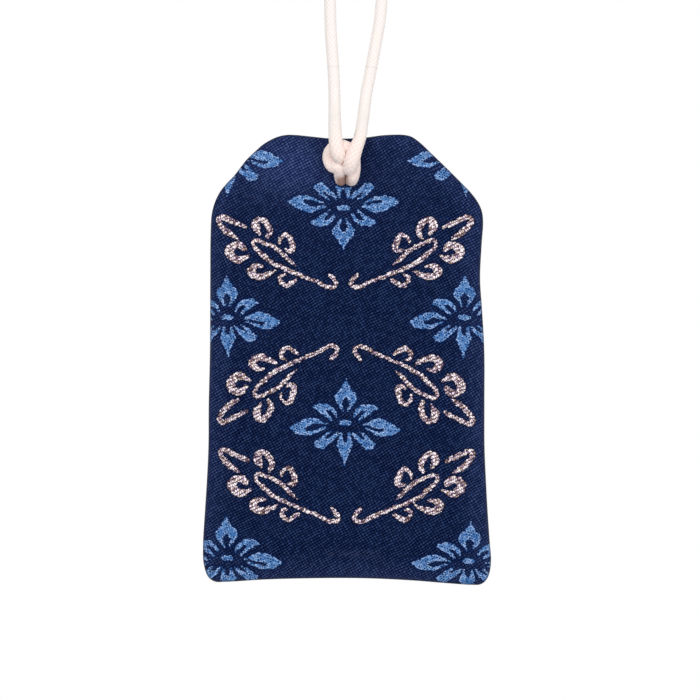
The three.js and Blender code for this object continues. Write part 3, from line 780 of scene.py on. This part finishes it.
outline_points = MOUTH_EDGE[:-1] + RIGHT_EDGE[:-1] + FOOT_EDGE[:0:-1] + LEFT_EDGE[:0:-1]
outline = smooth_line(outline_points, LINE_SPAN, closed=True)
corners = np.cumsum([len(e) - 1 for e in (MOUTH_EDGE, RIGHT_EDGE, FOOT_EDGE, LEFT_EDGE)])
corners *= LINE_SPAN
outline_run = unit(np.roll(outline, -1, axis=0) - np.roll(outline, 1, axis=0))
outline_out = np.column_stack([-outline_run[:, 1], outline_run[:, 0]])
mouth_line = outline[:corners[0]]
side_line = outline[corners[0]:]


def edge_between(first, last, count):
    """The rim's inner edge from one corner to the next, with its outward directions."""
    ring = np.column_stack([outline - RIM * outline_out, outline_out])
    ring = np.vstack([ring, ring[:1]])
    return evenly(ring[first:last + 1], count + 1, axes=2)


def cloth_grid():
    """The panel's face as a grid of (x, z) points between the four edges of its rim, and the
    outward directions round it."""
    top = edge_between(0, corners[0], COLUMNS)
    right = edge_between(corners[0], corners[1], ROWS)
    foot = edge_between(corners[1], corners[2], COLUMNS)[::-1]
    left = edge_between(corners[2], corners[3], ROWS)[::-1]
    u = np.linspace(0, 1, COLUMNS + 1)[None, :, None]
    v = np.linspace(0, 1, ROWS + 1)[:, None, None]
    flat = (1 - v) * top[None] + v * foot[None] + (1 - u) * left[:, None] + u * right[:, None]
    flat -= (1 - v) * ((1 - u) * top[0] + u * top[-1]) + v * ((1 - u) * foot[0] + u * foot[-1])
    return flat


def around(grid):
    """The border of a grid of numbers, in order and once round."""
    return np.concatenate([grid[0, :-1], grid[:-1, -1], grid[-1, :0:-1], grid[:0:-1, 0]])


def stand_off(points, crown):
    """How far the cloth's face stands from the middle plane."""
    z = points[:, 1]
    side = rounded(distance_to_line(points, side_line), EDGE_RUN)
    mouth = rounded(distance_to_line(points, mouth_line), MOUTH_RUN)
    full = MOUTH_CROWN + (crown - MOUTH_CROWN) * smoothstep(0, MOUTH_TAPER, -MOUTH_FLAT - z)
    return EDGE_CROWN + (full - EDGE_CROWN) * side * mouth


def soft_waves(points):
    """The slight unevenness of cloth drawn over padding, and the puckers that the hitch pulls."""
    x, z = points.T
    broad = BROAD_WAVE * np.sin(x / BROAD_LENGTHS[0] + BROAD_STARTS[0])
    broad *= np.sin(z / BROAD_LENGTHS[1] + BROAD_STARTS[1])
    waves = broad + SLANT_WAVE * np.sin((x + SLANT * z) / SLANT_LENGTH)
    from_hole = np.hypot(x, z + HOLE_DROP)
    bearing = np.arctan2(z + HOLE_DROP, x)
    puckers = PUCKER * np.exp(-((from_hole - PUCKER_RING) / PUCKER_BAND) ** 2)
    puckers *= np.cos(PUCKERS * bearing + PUCKER_START)
    return waves * smoothstep(*CALM, from_hole) + puckers


def crease(points, facing):
    """Where a fold low on the front has rubbed the cloth, from 0 to 1."""
    x, z = points.T
    across = smoothstep(*CREASE_LEFT, x) * smoothstep(*CREASE_RIGHT, x)
    return across * np.exp(-(((z - CREASE_Z) / CREASE_HALF_WIDTH) ** 2)) * (facing < 0)


def painted_sheen(points, to_edge):
    """Where a sheen is painted on the ground, from 0 to 1: at the shoulders and along the outline."""
    sheen_share = EDGE_SHEEN * smoothstep(EDGE_SHEEN_RUN, 0, to_edge)
    for middle, most in SHEEN_SHOULDERS:
        off = (points - middle) / SHOULDER_REACH
        sheen_share = np.maximum(sheen_share, most * np.exp(-(off ** 2).sum(1)))
    return sheen_share


class Shell:
    """Collects the points and faces of a closed cloth shell."""

    def __init__(self):
        self.points, self.cloth, self.faces, self.count = [], [], [], 0
        self.beyond = {}

    def add(self, flat, y, cloth=None):
        """Points at (x, z) and y; cloth is where they lie on the unrolled cloth."""
        y = np.broadcast_to(y, len(flat))
        self.points.append(np.column_stack([flat[:, 0], y, flat[:, 1]]))
        self.cloth.append(flat if cloth is None else cloth)
        self.count += len(flat)
        return np.arange(self.count - len(flat), self.count)

    def quads(self, grid, keep):
        corners_of = np.stack([grid[:-1, :-1], grid[1:, :-1], grid[1:, 1:], grid[:-1, 1:]], -1)
        self.faces += corners_of[keep].tolist()

    def band(self, ring, following):
        self.faces += band(ring, following)

    def close_on(self, fine, coarse, before):
        """Joins a ring to one with a LINING-th of its points. On the bake map, the join goes on
        past the ring as far again as the band between it and the ring before it."""
        fine_loop, before_loop = np.append(fine, fine[0]), np.append(before, before[0])
        for i, start in enumerate(coarse):
            first, last = i * LINING, (i + 1) * LINING
            run = fine_loop[first:last + 1].tolist()
            self.beyond[len(self.faces)] = [(fine_loop[e], before_loop[e]) for e in (last, first)]
            self.faces.append([*run, int(coarse[(i + 1) % len(coarse)]), int(start)])

    def bake_map(self, layout):
        """The faces' corners on the bake map, from each point's place on it."""
        places = [layout[face] for face in self.faces]
        for face, ends in self.beyond.items():
            places[face][-2:] = [2 * layout[ring] - layout[before] for ring, before in ends]
        return np.concatenate(places)


def dress(piece, node):
    """Has a piece ride on the bag in the place of a solid."""
    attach(piece, "bag")
    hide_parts(node)


def panel(name, node, facing, crown, cloth_shift):
    """One side of the pouch: facing is -1 for the front and 1 for the back, cloth_shift how far
    along the pattern it was cut."""
    shell = Shell()
    flat = cloth_grid()
    rim_out = unit(around(flat[..., 2:]))
    flat = flat[..., :2]

    # The hole's middle, in lining cells down and across.
    hole_cell = np.argmin(np.abs(flat[::LINING, COLUMNS // 2, 1] + HOLE_DROP)), COLUMNS // LINING // 2

    def face_height(points):
        """Height of the bare cloth, before the motifs' threads raise it."""
        return stand_off(points, crown) + soft_waves(points)

    def add_face(step, thickness):
        """One side of the cloth with its hole; returns its border and the hole's ring."""
        spots = flat[::step, ::step]
        scale = LINING // step
        down, across = [slice((cell - reach) * scale, (cell + reach) * scale + 1)
                        for cell, reach in zip(hole_cell, HOLE_BLOCK)]
        y = facing * (face_height(spots.reshape(-1, 2)) - thickness)
        grid = shell.add(spots.reshape(-1, 2), y).reshape(spots.shape[:2])
        keep = np.ones(np.subtract(grid.shape, 1), bool)
        keep[down.start:down.stop - 1, across.start:across.stop - 1] = False
        shell.quads(grid, keep)
        outer = around(spots[down, across])
        centre = np.array([0.0, -HOLE_DROP])
        half = np.abs(outer - centre).max(0)
        bearing = np.arctan2(*((outer - centre) / half).T[::-1])
        oval = np.column_stack([np.cos(bearing) * HOLE_WIDTH, np.sin(bearing) * HOLE_HEIGHT]) / 2
        ring = around(grid[down, across])
        for share in np.linspace(0, 1, HOLE_RINGS + 1)[1:]:
            spot = outer + share * (centre + oval - outer)
            following = shell.add(spot, facing * (face_height(spot) - thickness))
            shell.band(ring, following)
            ring = following
        return around(grid), ring

    border, hole_ring = add_face(1, 0.0)
    inner_border, inner_hole = add_face(LINING, CLOTH)

    # The rim rolls from the face round to the seam.
    start = around(flat)
    face_y = np.concatenate(shell.points)[border, 1]
    edge_y = facing * EDGE_CROWN
    ring, unrolled = border, np.zeros(len(border))
    last_spot = np.column_stack([np.zeros(len(border)), face_y])
    for share in np.linspace(0, 1, RIM_RINGS + 1)[1:]:
        out = RIM * (2 * share - share ** 2)
        y = (1 - share) ** 2 * face_y + 2 * share * (1 - share) * edge_y
        y = y + share ** 2 * facing * SEAM_HALF_GAP
        spot = np.column_stack([np.full(len(border), out), y])
        unrolled = unrolled + np.linalg.norm(spot - last_spot, axis=1)
        cloth = start + unrolled[:, None] * rim_out
        following = shell.add(start + out * rim_out, y, cloth)
        shell.band(ring, following)
        ring, last_spot = following, spot
    tucked_spot = start + (RIM - TUCK) * rim_out
    tucked = shell.add(tucked_spot, facing * TUCK_HALF_GAP, cloth + TUCK * rim_out)
    shell.band(ring, tucked)
    shell.close_on(tucked, inner_border, ring)

    # The hole's edge turns in to the lining.
    rim_points = np.concatenate(shell.points)[hole_ring]
    rim_spots = rim_points[:, [0, 2]]
    centre = rim_spots.mean(0)
    turned_cloth = centre + (rim_spots - centre) * HOLE_DRAWN
    turned = shell.add(rim_spots, rim_points[:, 1] - facing * CLOTH * HOLE_TURN, turned_cloth)
    shell.band(hole_ring, turned)
    shell.close_on(turned, inner_hole, hole_ring)

    points = np.concatenate(shell.points)
    cloth = np.concatenate(shell.cloth) * (-facing, 1) + cloth_shift
    values = {motif: distance_to_strokes(cloth, strokes) for motif, strokes in MOTIFS.items()}
    lining = np.arange(inner_border.min(), inner_hole.max() + 1)
    from_hole = np.hypot(points[:, 0] / HOLE_WIDTH, (points[:, 2] + HOLE_DROP) / HOLE_HEIGHT)
    plain = np.union1d(lining, np.flatnonzero(from_hole < HOLE_MARGIN))
    for value in values.values():
        value[plain] = NO_MOTIF
    raised = sum(RAISE[motif] * smoothstep(*RAISE_EDGE, values[motif]) for motif in MOTIFS)
    face_points = np.arange(len(points)) < inner_border.min()
    points[face_points, 1] += facing * raised[face_points]
    spots = points[:, [0, 2]]
    to_edge = distance_to_line(spots, outline)
    values["wear"] = crease(spots, facing)
    # A sheen painted on the ground at the shoulders and along the outline.
    values["painted_sheen"] = painted_sheen(spots, to_edge)
    # Painted shade where the cloth turns in to the seam.
    values["turned"] = RIM_SHADE * smoothstep(RIM_SHADE_RUN, 0, to_edge)
    values["cloth"] = np.column_stack([cloth, np.zeros(len(cloth))])
    layout = (cloth - cloth.min(0)) * FACE_ON_MAP
    layout[lining] = (cloth[lining] - cloth[lining].min(0)) * LINING_ON_MAP + LINING_CORNER
    piece = make_piece(name, points, shell.faces, BROCADE, values, shell.bake_map(layout))
    dress(piece, node)
    return piece


front = panel("brocade_front", "front_panel", -1, FRONT_CROWN, (0, 0))
back = panel("brocade_back", "back_panel", 1, BACK_CROWN, BACK_SHIFT)


# Seam and what the pouch holds

STITCH_PITCH, STITCH_STEPS = 2.2, 14
STITCH_DEPTH, STITCH_REACH, STITCH_HEIGHT = 0.45, 0.3, 0.42
THREAD_RADIUS, THREAD_SIDES = 0.13, 8


def box_in_mm(node):
    """The node's lowest and highest corners, measured from the mouth line as the pouch is."""
    low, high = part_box(node)
    return [np.array(corner) / MM - MOUTH for corner in (low, high)]


def seam_thread():
    """One thread that winds along the seam, through the edges of both panels."""
    edge = np.column_stack([side_line, outline_out[corners[0]:]])
    turns = round(length_along(edge, 2)[-1] / STITCH_PITCH)
    edge = evenly(edge, turns * STITCH_STEPS + 1, axes=2)
    phase = np.linspace(0, 2 * np.pi * turns, len(edge))
    out = STITCH_REACH * np.cos(phase) - STITCH_DEPTH
    x, z = (edge[:, :2] + out[:, None] * unit(edge[:, 2:])).T
    line = np.column_stack([x, STITCH_HEIGHT * np.sin(phase), z])
    radius = np.full((len(line), THREAD_SIDES), THREAD_RADIUS)
    return tube("whip_stitches", line, *carried_sides(line), radius, THREAD)


def two_sided(name, one, other, material):
    """A closed piece between two grids of points that are joined round their border."""
    shell = Shell()
    grids = []
    for side in (one, other):
        flat = side.reshape(-1, 3)
        grids.append(shell.add(flat[:, [0, 2]], flat[:, 1]).reshape(side.shape[:2]))
        shell.quads(grids[-1], np.ones(np.subtract(side.shape[:2], 1), bool))
    shell.band(*map(around, grids))
    return make_piece(name, np.concatenate(shell.points), shell.faces, material)


PAD_CELLS = (72, 96)
PAD_EDGE = 5.0  # width over which the pad thins out to its edge
PAD_THIN = 0.25  # its thickness there
PAD_CLEAR = 0.15  # room under the cloth
PAD_BOW = (0.12, 0.08)  # how much its sides and its ends bow
LUMP, LUMP_LENGTHS, LUMP_SWAY, LUMP_SWAY_LENGTH = 0.07, (2.3, 2.7), 0.5, 3.1


def wadding_pad():
    """A thin pad of cotton: flat on the card, crowned and lumpy under the cloth."""
    low, high = box_in_mm("front_wadding")
    u, v = np.meshgrid(*[np.linspace(-1, 1, n + 1) for n in PAD_CELLS])
    half = (high - low) / 2
    middle = (high + low) / 2
    x = middle[0] + half[0] * u * np.sqrt(1 - PAD_BOW[0] * v ** 2)
    z = middle[2] + half[2] * v * np.sqrt(1 - PAD_BOW[1] * u ** 2)
    flat = np.column_stack([x.ravel(), z.ravel()])
    inset = np.minimum(half[0] * (1 - np.abs(u)), half[2] * (1 - np.abs(v)))
    crown = rounded(inset, PAD_EDGE)
    sway = LUMP_SWAY * np.sin(z / LUMP_SWAY_LENGTH)
    lumps = LUMP * np.sin(x / LUMP_LENGTHS[0] + sway) * np.sin(z / LUMP_LENGTHS[1]) * crown
    full = np.minimum(-low[1], stand_off(flat, FRONT_CROWN).reshape(u.shape) - CLOTH - PAD_CLEAR)
    rise = PAD_THIN + (full + high[1] - PAD_THIN) * crown + lumps - LUMP
    card_side = np.stack([x, np.full(u.shape, high[1]), z], -1)
    cloth_side = np.stack([x, high[1] - np.maximum(rise, PAD_THIN), z], -1)
    return two_sided("wadding_pad", cloth_side, card_side, WADDING)


PAPER_THICKNESS = 0.12
FOLD_AT, FOLD_POINTS = 13.2, 9
FLAP_HEIGHTS = (2.0, 0.86, 2.2)  # y of the inner flap, the back and the outer flap
FLAP_ENDS = (5.5, -4.0)
SECTION_POINTS, PAPER_ROWS = 180, 40
PAPER_WAVE, PAPER_WAVE_LENGTHS = 0.02, (5.7, 4.3)


def fold(side, start, end):
    """Half a turn of the paper at one side, as (x, y) points from one height to another."""
    turn = np.linspace(0, np.pi, FOLD_POINTS)
    radius = (start - end) / 2
    x = side * (FOLD_AT + abs(radius) * np.sin(turn))
    return np.column_stack([x, (start + end) / 2 + radius * np.cos(turn)])


def paper_sleeve():
    """A strip of paper folded round the slip, with its two flaps one over the other."""
    inner, back, outer = FLAP_HEIGHTS
    ends = (FLAP_ENDS[0], inner), (FLAP_ENDS[1], outer)
    section = np.vstack([ends[0], fold(-1, inner, back), fold(1, back, outer), ends[1]])
    section = evenly(section, SECTION_POINTS, axes=2)
    run = unit(np.gradient(section, axis=0))
    out = np.column_stack([-run[:, 1], run[:, 0]])
    low, high = box_in_mm("slip_wrapper")
    z = np.linspace(low[2], high[2], PAPER_ROWS + 1)[:, None]
    sides = []
    for half in (-PAPER_THICKNESS / 2, PAPER_THICKNESS / 2):
        x, y = (section + half * out).T
        wave = PAPER_WAVE * np.sin(z / PAPER_WAVE_LENGTHS[1] + x / PAPER_WAVE_LENGTHS[0])
        sides.append(np.stack([x + 0 * z, y + wave, z + 0 * x], -1))
    return two_sided("paper_sleeve", *sides, PAPER)


stitches, pad, sleeve = seam_thread(), wadding_pad(), paper_sleeve()
dress(stitches, "seam_thread")
dress(pad, "front_wadding")
dress(sleeve, "slip_wrapper")

for node, material in (("stiffener_card", BOARD), ("inner_slip", WOOD)):
    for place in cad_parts[node].material_slots:
        place.material = material


# Light and floor

# Each light's place and size in metres, and its watts.
LIGHTS = {"key": ((-0.27, -0.68, 0.42), 0.3, 1.95), "fill": ((0.42, -0.62, 0.0), 0.5, 1.4)}
WORLD_LEVEL = 0.65
WHITE, FLOOR_GREY = (1, 1, 1, 1), (0.86, 0.86, 0.86, 1)
FLOOR_Z, FLOOR_RADIUS, FLOOR_SIDES = -0.2, 0.6, 96
FLOOR_GLOW = 0.1  # lifts the pale floor to the white behind it


def area_light(name, place, size, watts):
    light = bpy.data.objects.new(name, bpy.data.lights.new(name, "AREA"))
    light.data.energy = watts
    light.data.size = size
    light.location = place
    aim = camera.location.copy()
    aim.y = 0
    light.rotation_euler = (aim - light.location).to_track_quat("-Z", "Y").to_euler()
    bpy.context.collection.objects.link(light)


for name, settings in LIGHTS.items():
    area_light(name, *settings)

# The world is plain white to the eye, and lights the charm at its own level.
world = bpy.data.worlds.new("studio")
bpy.context.scene.world = world
sky = Paint(world, "Background")
rays = sky.node("LightPath")
seen = rays["Is Camera Ray"]
for kind in ("Is Glossy Ray", "Is Transmission Ray"):
    seen = sky.math("MAXIMUM", seen, rays[kind])
level = sky.node("MapRange", {"Value": seen, "To Min": WORLD_LEVEL})[0]
sky.shade(Color=WHITE, Strength=level)

floor_paint = Paint(bpy.data.materials.new("floor"))
seen_by_camera = floor_paint.node("LightPath")["Is Camera Ray"]
floor_paint.shade(
    Base_Color=FLOOR_GREY,
    Roughness=0.8,
    Emission_Color=WHITE,
    Emission_Strength=floor_paint.times(seen_by_camera, FLOOR_GLOW),
)
bpy.ops.mesh.primitive_circle_add(
    vertices=FLOOR_SIDES, radius=FLOOR_RADIUS, fill_type="NGON", location=(0, 0, FLOOR_Z)
)
floor = bpy.context.object
floor.name = "floor"
floor.data.materials.append(floor_paint.owner)

bpy.context.scene.view_settings.view_transform = "Standard"
